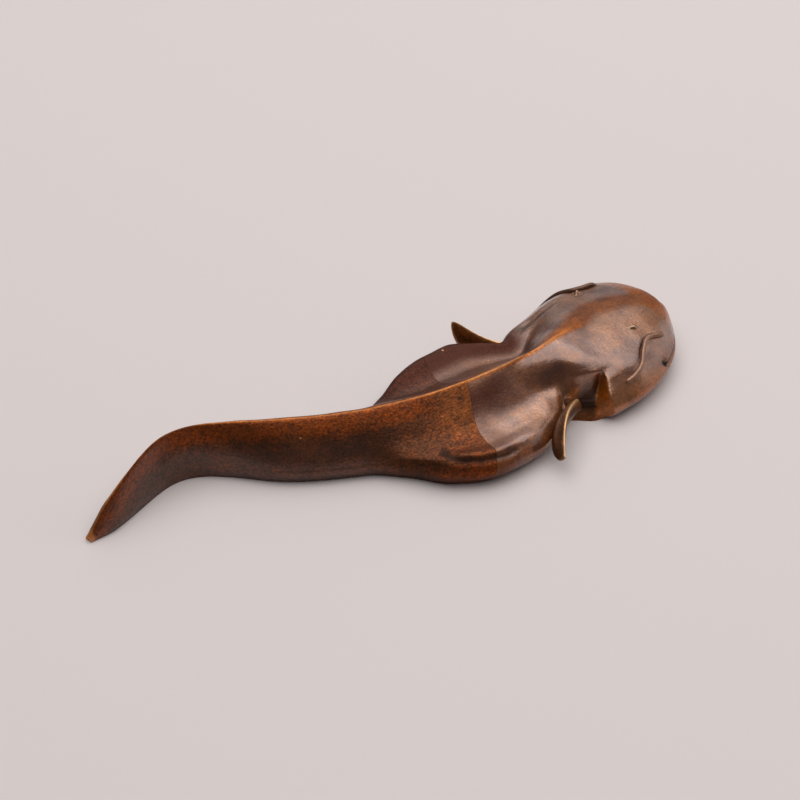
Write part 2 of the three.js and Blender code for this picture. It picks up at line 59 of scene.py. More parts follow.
# Section outlines from crest to underside, in half widths and crest heights
TAIL_OUTLINE = np.array([
    (0, 1), (0.14, 0.94), (0.42, 0.78), (0.66, 0.6), (0.84, 0.44), (0.95, 0.3), (1, 0.18), (0.86, 0)])
RIGHT_BELLY = np.array([
    (0, 1), (0.05, 0.93), (0.24, 0.71), (0.44, 0.53), (0.66, 0.5), (0.86, 0.515), (1, 0.27), (0.88, 0)])
RIGHT_WAIST = np.array([
    (0, 1), (0.05, 0.93), (0.24, 0.71), (0.46, 0.53), (0.7, 0.46), (0.9, 0.37), (1, 0.2), (0.88, 0)])
LEFT_BELLY = np.array([
    (0, 1), (0.05, 0.93), (0.24, 0.71), (0.44, 0.54), (0.66, 0.56), (0.85, 0.6), (1, 0.28), (0.88, 0)])
HEAD_OUTLINE = np.array([
    (0, 1), (0.22, 0.97), (0.45, 0.9), (0.65, 0.81), (0.8, 0.7), (0.91, 0.53), (1, 0.28), (0.86, 0)])
LAST = len(TAIL_OUTLINE) - 1
BELLY_CHANGE = (JOINT_AT - 13.7, 16.0)
HEAD_CHANGE = (GILL_AT, 14.0)
WAIST_CHANGE = (JOINT_AT + 8.0, 12.0)
SHOULDER_LEAD = 7.0             # how much earlier the head's form begins along the right shoulder
SHOULDER_T = (1.5, 1.1, 1.8)    # t of the shoulder's middle, and its reach above and below
CREST_ROUND = (0.4, 6.0)        # radius of the rubbed crest on the body, and of the head's smooth top
CREST_ROUND_GROWS = (1, 11)     # span of the change between them, from the gill
CREST_SLOPE = (0.9, 0.12)       # fall of the skin beside the crest on the body and on the head
CREST_SIDE_T = (2, 4)           # span over which the rounding of the crest ends


def mix(a, b, share):
    """The value a share of the way from a to b."""
    return a + (b - a) * share


# Half widths, right and left, and crest height; the place counts tail tip 0, joint 1, gill edge 2, snout 3
STATIONS = [
    (0, 0.12 * TAIL_HALF, 0.126 * TAIL_HEIGHT),
    (0.07, 0.32 * TAIL_HALF, 0.58 * TAIL_HEIGHT),
    (0.25, 0.18 * TAIL_HALF, 1.06 * TAIL_HEIGHT),
    (0.41, 0.61 * TAIL_HALF, 0.97 * TAIL_HEIGHT),
    (0.57, 0.96 * TAIL_HALF, TAIL_HEIGHT),
    (0.72, 1.02 * TAIL_HALF, mix(TAIL_HEIGHT, CREST, 0.25)),
    (0.8, mix(TAIL_HALF, BELLY_HALF, np.array([0.28, 0.32])), mix(TAIL_HEIGHT, CREST, 0.5)),
    (0.88, mix(TAIL_HALF, BELLY_HALF, np.array([0.76, 0.71])), mix(TAIL_HEIGHT, CREST, 0.75)),
    (0.97, mix(TAIL_HALF, BELLY_HALF, np.array([1.0, 0.93])), CREST),
    (1.23, mix(BELLY_HALF, WAIST_HALF, np.array([0.15, 0.0])), CREST),
    (1.51, mix(BELLY_HALF, WAIST_HALF, np.array([0.745, 0.53])), CREST),
    (1.7, WAIST_HALF, CREST),
    (1.88, mix(WAIST_HALF, CHEEK_HALF, np.array([0.667, 0.52])), CREST),
    (2.18, CHEEK_HALF, HEAD_HEIGHT),
    (3, SNOUT_HALF, HEAD_HEIGHT)]
STATION_S = np.interp([row[0] for row in STATIONS], [0, 1, 2, 3], [0, JOINT_AT, GILL_AT, SNOUT_AT])
RIGHT_HALF, LEFT_HALF = np.array([np.broadcast_to(row[1], 2) for row in STATIONS]).T
CREST_HEIGHT = np.array([row[2] for row in STATIONS])

# Gill cover: a facet that falls backwards from the cover's edge, deeper and longer towards its foot
GILL_DEPTH, GILL_LIFT, GILL_LIP = 2.8, 0.3, 2.0
GILL_BACK, GILL_SLANT = 0.7, 1.25       # the edge's foot behind the gill line, and its top ahead of its foot
GILL_TOP, GILL_FOOT = 3.35, 5.2         # t of the two ends of the slanted edge
FACET_RUN, FACET_WIDENS = (0.5, 2.6), 1.15      # least and greatest run, and how it grows with t
# t at which the depth starts and is full, each at the edge and well behind it, and the span between the two
DEPTH_STARTS, DEPTH_FULL, DEPTH_SOFTENS = (3.15, 2.9), (3.9, 4.7), (0.3, 3)
# Distance behind the edge, and depth as a share: the facet, then two soft folds
PLEATS = np.array([
    (0, 0), (1.3, 0.75), (2.3, 0.8), (3.7, 0.85), (5.1, 0.35), (6.2, 0.48), (8, 0.14), (10.5, 0)])
LEFT_GILL = 0.0                         # share of the depth on the left, where the cover is pressed flush

# Mouth groove, below the lip, from its corner forwards
MOUTH_BACK, MOUTH_HEIGHT, MOUTH_HALF, MOUTH_DEPTH = 11.5, LIP - 0.6, 0.35, 0.4

# Casting joint
JOINT_LEAN, JOINT_MIDDLE = 19.0, 13.35
JOINT_FADE = 20.0           # length of the stretch over which the rows of the skin lean with the joint
HAIRLINE = 0.03             # half of the line that shows between the castings
PIN_AHEAD, PIN_RADIUS, PIN_HEIGHT, SEAT_GAP = 2.0, 1.2, 7.0, 0.3

# Eyes
EYE_SEATS = {-1: (13.1, 1.8), 1: (12.4, 2.6)}       # distance behind the snout, and t
EYE_RADIUS, EYE_BED = 1.25, 0.4
EYE_STEM, EYE_STEM_DEPTH = 0.6, 1.6
EYE_LID, EYE_PIT, EYE_CREASE = 0.6, 0.5, 0.15
LID_HIGHLIGHT = {-1: 1.0, 1: 0.4}                        # how much each lid is painted as a highlight, in bare metal

# Barbels: places as distance behind the snout, and t
BARBEL_ROUTES = {
    -1: [(9.1, 3.65), (11.6, 3.1), (13.2, 3.05), (15.4, 3.45), (18, 4.2), (20.4, 4.5), (22.5, 4.58)],
    1: [(8.2, 2.95), (10.5, 3.05), (12.2, 3.3), (13.4, 4.6), (15.2, 5.7), (18.5, 6.1), (22.5, 6.2)]}
BARBEL_RADIUS = (0.52, 0.42)
BARBEL_LIFT, BARBEL_PEG = 0.12, 1.2
BARBEL_ROUND_FROM = 0.95    # share of the length from which the end is rounded

# Fins
FIN_BEHIND, FIN_INSET, FIN_RISE = 5.5, 1.0, 0.555
FIN_ROOT_SHARE = 0.5        # root chord as a share of the widest
FIN_TENON = (0, -2.2, -1.2)                     # from the root to the end of the tenon inside the body
FIN_THICK, FIN_LENS = (1.6, 0.9), 1.4           # root and tip, and the power of the sine that shapes the lens
FIN_SWELL = {-1: (1.0, 2.0), 1: (1.0, 1.0)}     # how much fuller each face of a blade is than a plain lens
FIN_WORN_HIGHLIGHT = 0.5              # half width of the rubbed top edge, bare metal that is also a painted highlight, as an angle round the section
# Per side, as (back, out, up) from the root: start, bow and tip of the top edge, and the chord below it.
# Then where the blade is widest, how blunt its end is, and where along the chord it closes there.
FINS = {
    -1: ((0.1, 0.9, -0.8), (7.2, 3.9, 3.2), (11.5, 9.9, -2.2), (2.9, -0.5, -4.3), 0.4, 1.8, 0.0),
    1: ((0.2, 0, -0.2), (2.8, 3.8, -0.5), (6, 8.4, 3.7), (-0.2, -0.4, -6.2), 0.72, 2.6, 0.3)}

# Relief worked into the skin: a line of (s, t) places, its half width, and the share over which an end fades
DISH_CREASE = (
    [(67.2, 3.6), (66.5, 4.2), (67, 4.85), (68.4, 5.2), (71.1, 5.27), (75, 5.33), (79, 5.25)], 0.75, 0.15)
DISH_RIM = ([(67.5, 4.7), (68.9, 4.85), (71.2, 5.02), (74.1, 5.03), (78.4, 4.95)], 0.8, 0.2)
BROW = ([(91.5, 2.75), (94.5, 2.95), (97, 3.15), (98.8, 3.3)], 0.9, 0.4)
LEFT_CREASE = ([(107.8, 3.1), (103.5, 3.05), (99.9, 3.65), (97.4, 4.2), (94.4, 4.4)], 0.9, 0.25)
JAW_NOTCH, NOTCH_HALF = [(111.2, 5.35), (111.6, 5.5)], 0.7
CREASE_DEPTH, RIM_HEIGHT, BROW_HEIGHT, NOTCH_DEPTH = 0.3, 0.2, 0.18, 0.6
GROOVE_BESIDE, GROOVE_HALF, GROOVE_DEPTH = 0.48, 0.3, 0.22      # groove on the crest's side of each barbel
GROOVE_STARTS, GROOVE_ENDS = (0, 0.15), (0.4, 0.8)              # as shares of the barbel
WAVE_HEIGHT = 0.05
UNDER_EDGE = 0.6            # reach of the edge of the underside, in t, over which all relief fades

# Zones of the patina. A pair is the span of a smooth change: in t where the name ends in T, along the spine
# from the place that the comment names, and otherwise round the skin from the crest.
CREST_LINE, CREST_LINE_ENDS = 0.32, (-4, 6)             # bare line on the crest; the gill
BARE_TIP = (0.3, 1.3)                                   # bare end; the tail tip
TAIL_BAND, TAIL_BAND_ENDS = (2.5, 5.0), (-14, 0)        # orange beside the tail's crest; the joint
STRIP_STARTS, STRIP_T = (-12, -6), (2.5, 4)             # orange strip on the tail; the joint
RIDGE_BAND, RIDGE_BAND_ENDS = (0.8, 2.6), (1, 8)        # orange beside the trunk's crest; the gill
RIDGE_BREADTH = (1.6, 0.4)                              # factors of that band's width on the left and right
HEAD_BAND, HEAD_BAND_STARTS = (1.0, 4), (1, 6)          # orange over the head, from its line; the gill
HEAD_BAND_LINE = ([98, 101, 107, 113, 118], [0, 1, 2.5, 1, -1.5])       # s, and distance left of the crest
SNOUT_RIM, SNOUT_RIM_T = (-7, -3.5), (4, 5)             # orange rim; the snout
LOBE_WALL, LOBE_WALL_T = (-16, -8), (4.8, 5.6)          # orange wall below the dish; the joint
SEAM_FOOT, SEAM_FOOT_T = (1, 4.5), (4.8, 5.3)           # orange low on the trunk's seam; the joint
JAW, JAW_T = (-2, 4), (4.6, 5.4)                        # thin wax on the jaw; the gill
WAXED_SIDE, WAXED_SIDE_ENDS = (3, 7), (-24, -14)        # waxed flank of the tail; the joint
WAXED_END = (14, 22)                                    # waxed end of the tail; the tail tip
LEFT_VALLEY, LEFT_VALLEY_T = (-18, -10), (2.4, 0.8)     # waxed valley, as middle and width in t; the joint
LEFT_FILM, LEFT_FILM_T = (-5, 2), (0.5, 1.5)            # dark film as painted shade on the left lobe; the gill
LEFT_FULL_T = (2.8, 4)                                  # where that film becomes full
UPPER_FILM, UPPER_FILM_T = (3, 11), (1.7, 1.0)          # high on the right, as middle and width; the joint
SEAM_FILM, SEAM_FILM_T = (1, 5), (1.5, 2.5)             # along the seam; the joint
LOBE_FILM, LOBE_FILM_T = (8, 16), (5.3, 6.0)            # painted shade at the foot of the right lobe; the joint
FOOT_FILM, FOOT_FILM_T = (0, 9), (4.9, 5.6)             # painted shade at the foot of the seam; the joint
# Soft patches of the dark film: strength, s and its width, t and its width. The left patch is painted shade
# on the far side of the head, and the right patch at s 83 is painted shade that narrows the valley's
# highlight.
LEFT_PATCHES = [(0.3, 107, 5, 2.2, 0.8)]
RIGHT_PATCHES = [(0.3, 86, 6, 1.9, 0.85), (0.4, 92.5, 3.5, 2.8, 0.5), (0.35, 83, 7, 2.6, 0.45)]

# Rows and columns of the grids
TAIL_ROWS, BELLY_ROWS, HEAD_ROWS = 330, 150, 190
COLUMNS_PER_SIDE, COLUMNS_UNDER = 105, 60
BARBEL_ROWS, BARBEL_COLUMNS = 160, 20
FIN_ROWS, TENON_ROWS, FIN_COLUMNS = 110, 10, 72
EYE_RINGS, EYE_COLUMNS = 26, 48
PIN_COLUMNS = 32
SHARP_ANGLE = 55.0          # an edge between faces is sharp from this angle on, in degrees

# The photograph's camera: degrees, millimetres, and pixels of an 800 pixel frame
VIEW_AZIMUTH, VIEW_ELEVATION, VIEW_DISTANCE = -26.0, 41.0, 420.0
VIEW_TARGET = (-13.944, 11.627, 0.0)
FOCAL_PIXELS, FRAME_PIXELS, SENSOR = 2268.0, 800.0, 36.0


def smooth(x, low, high):
    """Smoothstep: 0 below low, 1 above high, and 3f2 - 2f3 of the share f between them."""
    f = np.clip((x - low) / (high - low), 0, 1)
    return f * f * (3 - 2 * f)


def fade(x, low, high):
    """The rest of a smoothstep: 1 below low and 0 above high."""
    return 1 - smooth(x, low, high)


def change(s, at_span):
    """Share of a change that is done at s, when the change has a middle and a length."""
    at, span = at_span
    return smooth(s, at - span / 2, at + span / 2)


def bell(x, width):
    """Gaussian hump of height 1 that falls to 1/e at the given width."""
    return np.exp(-((x / width) ** 2))


def heading(s):
    """Direction of the spine in radians: the tail end's heading, turned twice by smooth steps."""
    turned_tail = (TAIL_HEADING - TAIL_END_HEADING) * change(s, TAIL_TURN)
    turned_body = (HEAD_HEADING - TAIL_HEADING) * change(s, BODY_TURN)
    return np.radians(TAIL_END_HEADING + turned_tail + turned_body)


SPINE_S = np.linspace(0, SNOUT_AT + 2, 2500)
SPINE_MID = heading((SPINE_S[1:] + SPINE_S[:-1]) / 2)
SPINE_X = np.concatenate([[0], np.cumsum(np.cos(SPINE_MID) * np.diff(SPINE_S))])
SPINE_Y = np.concatenate([[0], np.cumsum(np.sin(SPINE_MID) * np.diff(SPINE_S))])


def place(s, left, up):
    """World point: the spine's point at s, moved left across the heading and up."""
    h = heading(s)
    x = np.interp(s, SPINE_S, SPINE_X) - np.interp(ORIGIN_AT, SPINE_S, SPINE_X)
    y = np.interp(s, SPINE_S, SPINE_Y) - np.interp(ORIGIN_AT, SPINE_S, SPINE_Y)
    return np.stack(np.broadcast_arrays(x - np.sin(h) * left, y + np.cos(h) * left, up), -1)


def monotone(xs, ys, x):
    """Cubic through points that never overshoots: an inner slope is the weighted harmonic mean of its two
    chords, and an end's slope is its chord."""
    h = np.diff(xs)
    chord = np.diff(ys) / h
    before, after = chord[:-1], chord[1:]
    rising = before * after > 0
    wa, wb = 2 * h[1:] + h[:-1], h[1:] + 2 * h[:-1]
    mean = (wa + wb) / (wa / np.where(rising, before, 1) + wb / np.where(rising, after, 1))
    slope = np.concatenate([chord[:1], np.where(rising, mean, 0), chord[-1:]])
    i = np.clip(np.searchsorted(xs, x) - 1, 0, len(h) - 1)
    f = np.clip((x - xs[i]) / h[i], 0, 1)
    rise = h[i] * (slope[i] * f * (1 - f) ** 2 - slope[i + 1] * f * f * (1 - f))
    return mix(ys[i], ys[i + 1], f * f * (3 - 2 * f)) + rise


def outline_point(s, t, side):
    """Point of the unit outline: Catmull-Rom through the eight points, which blend from tail to belly to
    head. The head's form begins earlier along the shoulder of the right flank."""
    middle, above, below = SHOULDER_T
    lead = SHOULDER_LEAD * bell(t - middle, np.where(t < middle, above, below)) * (side < 0)
    belly, head = change(s, BELLY_CHANGE)[..., None], change(s + lead, HEAD_CHANGE)[..., None]
    waist, on_left = change(s, WAIST_CHANGE)[..., None], np.asarray(side > 0)[..., None]
    i = np.clip(np.floor(t).astype(int), 0, LAST - 1)
    f = (t - i)[..., None]

    def control(j):
        j = np.clip(j, 0, LAST)
        lobe = np.where(on_left, LEFT_BELLY[j], mix(RIGHT_BELLY[j], RIGHT_WAIST[j], waist))
        return mix(mix(TAIL_OUTLINE[j], lobe, belly), HEAD_OUTLINE[j], head)

    p0, p1, p2, p3 = control(i - 1), control(i), control(i + 1), control(i + 2)
    v0, v1 = (p2 - p0) / 2, (p3 - p1) / 2
    return (2 * p1 - 2 * p2 + v0 + v1) * f ** 3 + (3 * p2 - 3 * p1 - 2 * v0 - v1) * f ** 2 + v0 * f + p1


def gill_relief(s, t, side):
    """Offset of the skin round the gill edge: a fall from the edge along a facet, two folds behind it and a
    rise back to the flank, all of a depth that grows from the top of the cover downwards, and a lifted lip
    ahead of the edge. Returns it with the shares of hollow (near-black film that also paints the shade in the
    folds), of facet, of edge (bare metal that paints the edge's highlight) and of the whole niche."""
    behind = GILL_AT - GILL_BACK + GILL_SLANT * fade(t, GILL_TOP, GILL_FOOT) - s
    _, facet_end, _, first_fold, ridge, second_fold, _, end = PLEATS[:, 0]
    run = np.clip(FACET_RUN[0] + FACET_WIDENS * (t - GILL_TOP), *FACET_RUN)
    past_facet = facet_end + (behind - run) * (end - facet_end) / (end - run)
    pleat = np.clip(np.where(behind < run, behind * facet_end / run, past_facet), 0, end)
    soft = smooth(behind, *DEPTH_SOFTENS)
    grow = smooth(t, mix(*DEPTH_STARTS, soft), mix(*DEPTH_FULL, soft)) * np.where(side > 0, LEFT_GILL, 1)
    fall = monotone(PLEATS[:, 0], PLEATS[:, 1], pleat)
    lip = GILL_LIFT * np.where(behind < 0, bell(behind, GILL_LIP), fade(behind, 0, run))
    folds = bell(pleat - first_fold, 0.6) + 0.8 * bell(pleat - second_fold, 0.5)
    hollow_film_and_shade = np.maximum(folds, smooth(pleat, 1.0, 1.6) * fade(pleat, first_fold, 5.2))
    inside = smooth(behind, -0.1, 0.3)
    facet = (inside * fade(pleat, 0.8, 1.6) + 0.5 * bell(pleat - ridge, 0.6)) * fade(t, 4.7, 5.5)
    # Bare metal along the cover's edge, painted as the edge's highlight
    edge = bell(behind + 0.3, 0.35) * smooth(t, 3.2, 3.6) * fade(t, 4.8, 5.3) * (side < 0)
    niche = inside * fade(pleat, 5, 8)
    return grow * (lip - GILL_DEPTH * fall), grow * hollow_film_and_shade, grow * facet, edge, grow * niche


def section(s, t, side=-1):
    """Half section at s: distance from the spine and height. The outline is scaled by the half width and the
    crest, the snout is rounded by an ellipse and the crest by a hyperbola."""
    side = np.asarray(side)
    unit = outline_point(s, t, side)
    round_off = np.sqrt(1 - np.clip((s - SNOUT_FROM) / SNOUT_LENGTH, 0, 1) ** 2)
    half = np.where(side > 0, monotone(STATION_S, LEFT_HALF, s), monotone(STATION_S, RIGHT_HALF, s))
    left = unit[..., 0] * half * round_off
    up = np.maximum(unit[..., 1], 0) * monotone(STATION_S, CREST_HEIGHT, s)
    up = LIP + (up - LIP) * round_off ** SNOUT_FULLNESS
    slope = mix(*CREST_SLOPE, change(s, HEAD_CHANGE))
    radius = mix(*CREST_ROUND, smooth(s - GILL_AT, *CREST_ROUND_GROWS))
    return left, up - slope * (np.hypot(left, radius) - left) * fade(t, *CREST_SIDE_T)


def skin(s, t, side):
    """World point of the smooth skin."""
    left, up = section(np.asarray(s, float), np.asarray(t, float), side)
    return place(s, side * left, up)


def seat(s, t, side):
    """Point of the skin with the directions forward, across and out of it, from steps along and down it."""
    step = 0.2
    forward = skin(s + step, t, side) - skin(s - step, t, side)
    down = skin(s, t + step, side) - skin(s, t - step, side)
    forward /= np.linalg.norm(forward)
    out = side * np.cross(forward, down)
    out /= np.linalg.norm(out)
    return skin(s, t, side), forward, np.cross(out, forward), out


def girth(s, t, side):
    """Length round the skin from the crest to t at one s."""
    ts = np.linspace(0, LAST, 400)
    left, up = section(np.full_like(ts, s), ts, side)
    run = np.concatenate([[0], np.cumsum(np.hypot(np.diff(left), np.diff(up)))])
    return np.interp(t, ts, run)


def line_distance(route, s, around, side=-1):
    """On the unrolled skin, signed distance to a line through (s, t) places, positive on the crest's side of
    a line that runs backwards, and the share of the line at which the nearest point lies."""
    points = np.array([(ps, girth(ps, pt, side)) for ps, pt in route])
    near = np.full(s.shape, 1e9)
    sign = np.ones(s.shape)
    share = np.zeros(s.shape)
    for i, (a, b) in enumerate(zip(points[:-1], points[1:])):
        run = b - a
        f = np.clip(((s - a[0]) * run[0] + (around - a[1]) * run[1]) / (run @ run), 0, 1)
        ds, da = s - a[0] - f * run[0], around - a[1] - f * run[1]
        d = np.hypot(ds, da)
        closer = d < near
        near = np.where(closer, d, near)
        sign = np.where(closer, np.sign(run[0] * da - run[1] * ds), sign)
        share = np.where(closer, (i + f) / (len(points) - 1), share)
    return near * sign, share


def ends_fade(share, length):
    """1 along a line, falling smoothly to 0 over a share of it at each end."""
    return smooth(share, 0, length) * fade(share, 1 - length, 1)


def barbel_places(side):
    """Places (s, t) of one barbel's route."""
    return [(SNOUT_AT - back, t) for back, t in BARBEL_ROUTES[side]]


def fold(form, s, around, side=-1):
    """Share of a fold: a bell of the distance to its line, faded towards the line's ends."""
    line, half_width, end_share = form
    distance, along = line_distance(line, s, around, side)
    return bell(distance, half_width) * ends_fade(along, end_share)


def barbel_groove(s, side, around):
    """Share of the groove beside each barbel: a bell at a set distance from the wire, along its front."""
    groove = 0
    for hand in (-1, 1):
        wire, along = line_distance(barbel_places(hand), s, around, hand)
        front = smooth(along, *GROOVE_STARTS) * fade(along, *GROOVE_ENDS)
        groove = groove + np.where(side == hand, bell(wire - GROOVE_BESIDE, GROOVE_HALF) * front, 0)
    return groove


def relief(s, t, side, around, up):
    """Fine forms over the smooth skin, each its share times its height. Returns the outward offset and the
    shares of hollow (near-black film that also paints the shade in creases, grooves, the mouth, the notch and
    the gill folds), of rubbed edge (bare metal that also paints the highlights on the dish rim and the gill
    edge), of gill facet and of gill niche."""
    right = np.where(side < 0, 1.0, 0.0)
    crease, rim, brow = (right * fold(form, s, around) for form in (DISH_CREASE, DISH_RIM, BROW))
    cheek = (1 - right) * fold(LEFT_CREASE, s, around, 1)
    notch = bell(line_distance(JAW_NOTCH, s, around)[0], NOTCH_HALF)
    mouth = bell(up - MOUTH_HEIGHT, MOUTH_HALF) * smooth(s - SNOUT_AT + MOUTH_BACK, -0.5, 1)
    groove = barbel_groove(s, side, around)
    gill, gill_film_and_shade, facet, edge, niche = gill_relief(s, t, side)
    raised = RIM_HEIGHT * rim + BROW_HEIGHT * brow + gill
    sunk = CREASE_DEPTH * (crease + cheek) + MOUTH_DEPTH * mouth + NOTCH_DEPTH * notch
    sunk = sunk + GROOVE_DEPTH * groove
    # Darkness of the creases, grooves, mouth, notch and gill folds: near-black film and painted shade; beside
    # each barbel it is the barbel's painted shadow
    dark = 0.8 * crease + 0.6 * cheek + 0.7 * mouth + notch + 0.6 * groove + 0.9 * gill_film_and_shade
    # Bare metal on the dish rim and along the gill edge, painted as their highlights
    rub_and_highlight = 0.2 * rim + 0.6 * edge
    return raised - sunk, np.clip(dark, 0, 1), np.clip(rub_and_highlight, 0, 1), facet, niche


def film_patches(patches, s, t):
    """Sum of soft oval patches, each a bell along the spine times a bell in t."""
    return sum(strength * bell(s - at, length) * bell(t - low, breadth)
               for strength, at, length, low, breadth in patches)


def dark_film_and_shade(u, s, t, side):
    """Share of the dark red-brown film: over the whole left lobe as painted shade of the far side, on the
    right of the trunk high up and along the seam, on the foot of the lobe as painted shade near the ground,
    and in patches, some of them painted shade."""
    past_seam, past_joint = u - JOINT_AT, s - JOINT_AT
    left_lobe = mix(0.35, 1, smooth(t, *LEFT_FULL_T)) * smooth(t, *LEFT_FILM_T)
    left_lobe = left_lobe * fade(s - GILL_AT, *LEFT_FILM)
    middle, width = UPPER_FILM_T
    upper = 0.95 * fade(past_seam, *UPPER_FILM) * bell(t - middle, width)
    seam = 0.5 * fade(past_seam, *SEAM_FILM) * smooth(t, *SEAM_FILM_T)
    lobe = 0.3 * fade(past_joint, *LOBE_FILM) * smooth(t, *LOBE_FILM_T)
    foot = 0.2 * fade(past_seam, *FOOT_FILM) * smooth(t, *FOOT_FILM_T)
    right = np.maximum(upper, seam) + np.maximum(lobe, foot) + film_patches(RIGHT_PATCHES, s, t)
    on_right = np.clip(right, 0, 1) * (past_seam > 0)
    return np.where(side > 0, left_lobe + film_patches(LEFT_PATCHES, s, t), on_right)


def patina_layers(u, s, t, side, around, hollow_film_and_shade, rub_and_highlight, facet, niche):
    """States of the patina as sums of smooth steps and bells of the place on the skin: near-black hollows
    that also paint shade, bare rubbed metal that in places paints highlights, warm orange, dull where the wax
    is thin, and the dark red-brown film, which over the left lobe, the far head and the foot of the right
    lobe is painted shade. Along and across are the distances that the brush strokes follow."""
    past_joint, past_gill = s - JOINT_AT, s - GILL_AT
    on_tail, on_left = u < JOINT_AT, side > 0
    crest_line = bell(around, CREST_LINE) * fade(past_gill, *CREST_LINE_ENDS)
    tail_band = fade(around, *TAIL_BAND) * fade(past_joint, *TAIL_BAND_ENDS)
    strip = 0.5 * smooth(past_joint, *STRIP_STARTS) * on_tail
    ridge_band = fade(around / np.where(on_left, *RIDGE_BREADTH), *RIDGE_BAND)
    ridge_band = ridge_band * fade(past_gill, *RIDGE_BAND_ENDS)
    off_line = np.abs(around * side - np.interp(s, *HEAD_BAND_LINE))
    head_band = fade(off_line, *HEAD_BAND) * smooth(past_gill, *HEAD_BAND_STARTS)
    snout_rim = smooth(s - SNOUT_AT, *SNOUT_RIM) * fade(t, *SNOUT_RIM_T)
    lobe_wall = smooth(past_joint, *LOBE_WALL) * smooth(t, *LOBE_WALL_T)
    seam_foot = fade(u - JOINT_AT, *SEAM_FOOT) * smooth(t, *SEAM_FOOT_T) * ~on_tail
    jaw = smooth(past_gill, *JAW) * smooth(t, *JAW_T)
    waxed_tail = np.maximum(smooth(around, *WAXED_SIDE), fade(s, *WAXED_END))
    waxed_tail = waxed_tail * fade(past_joint, *WAXED_SIDE_ENDS)
    middle, width = LEFT_VALLEY_T
    left_valley = bell(t - middle, width) * smooth(past_joint, *LEFT_VALLEY) * on_left
    dry_tail = (1 - waxed_tail) * (1 - left_valley) * on_tail

    # Bare rubbed metal on the crest, the tail tip and the strip, plus through rub the painted highlights of
    # edges, wires and lids
    bare_and_highlight = rub_and_highlight + 0.75 * crest_line + fade(s, *BARE_TIP) + 0.6 * strip * (side < 0) * fade(t, *STRIP_T)
    warm = np.maximum(np.maximum(tail_band, ridge_band), strip) + 0.5 * head_band + 1.1 * snout_rim
    warm = warm + 0.5 * lobe_wall + 1.4 * facet + 0.8 * seam_foot
    dull = np.where(on_left, 0.9, 0.3) * snout_rim + ridge_band + head_band + dry_tail
    dull = dull + 0.5 * jaw + facet + niche + 0.7 * seam_foot
    # Dark red-brown film: painted shade over the left lobe, the far head and the lobe's foot, and the darker
    # film of the head band
    film_and_shade = dark_film_and_shade(u, s, t, side) + 0.45 * head_band
    return {
        "hollow_film_and_shade": hollow_film_and_shade,
        "rub_and_highlight": np.clip(bare_and_highlight, 0, 1),
        "warm": np.clip(warm, 0, 1.4),
        "dull": np.clip(dull, 0, 1),
        "along": s * MM,
        "across": around * side * MM,
        "film_and_shade": np.clip(film_and_shade, 0, 1),
    }


def waviness(points):
    """Hand-finished unevenness: a sum of slanted sine waves, about 4 to 6 mm long."""
    waves = [(0.9, 0.35, 0.8, 0.3), (-0.55, 0.8, 0.5, 1.7), (0.3, -1.1, 0.9, 4.1), (1.3, 0.6, -0.7, 2.2),
             (-0.8, -0.9, 1.2, 5.0)]
    return sum(np.sin(points @ np.array(wave[:3]) + wave[3]) for wave in waves) / len(waves)


def grid_mesh(name, rows, first, last, layers):
    """Closed mesh through a grid: rows run along the piece, columns round it, each cell is a quad, and a fan
    to a middle point closes each end. The layers are values for each point, stored as attributes."""
    n_rows, n = rows.shape[:2]
    points = np.concatenate([rows.reshape(-1, 3), [first], [last]]) * MM
    i = np.arange(n)
    j = (i + 1) % n
    a = (np.arange(n_rows - 1) * n)[:, None]
    quads = np.stack([a + i, a + n + i, a + n + j, a + j], -1).reshape(-1, 4)
    end = (n_rows - 1) * n
    fans = np.concatenate([
        np.stack([np.full(n, n_rows * n), i, j], -1),
        np.stack([np.full(n, n_rows * n + 1), end + j, end + i], -1)])
    mesh = bpy.data.meshes.new(name)
    mesh.from_pydata(points.tolist(), [], quads.tolist() + fans.tolist())
    mesh.polygons.foreach_set("use_smooth", np.ones(len(mesh.polygons), bool))
    mesh.set_sharp_from_angle(angle=np.radians(SHARP_ANGLE))
    for layer, values in layers.items():
        values = np.broadcast_to(values, rows.shape[:2])
        ends = [values[0].mean(), values[-1].mean()]
        data = np.concatenate([values.ravel(), ends]).astype(np.float32)
        mesh.attributes.new(layer, "FLOAT", "POINT").data.foreach_set("value", data)
    piece = bpy.data.objects.new(name, mesh)
    bpy.context.scene.collection.objects.link(piece)
    return piece


def round_from_crest(left, up):
    """Length round each row's outline from the crest, down the left flank and down the right one."""
    steps = np.hypot(np.diff(left, append=left[:, :1]), np.diff(up, append=up[:, :1]))
    left_run = np.cumsum(np.pad(steps[:, :COLUMNS_PER_SIDE - 1], ((0, 0), (1, 0))), 1)
    right_run = np.cumsum(steps[:, :-COLUMNS_PER_SIDE:-1], 1)[:, ::-1]
    return np.concatenate([left_run, np.repeat(left_run[:, -1:], COLUMNS_UNDER, 1), right_run], 1)


def outward(points):
    """Unit normal of a grid: the cross product of its steps along the piece and round it."""
    normal = np.cross(np.gradient(points, axis=0), np.roll(points, -1, 1) - np.roll(points, 1, 1))
    return normal / (np.linalg.norm(normal, axis=-1, keepdims=True) + 1e-12)


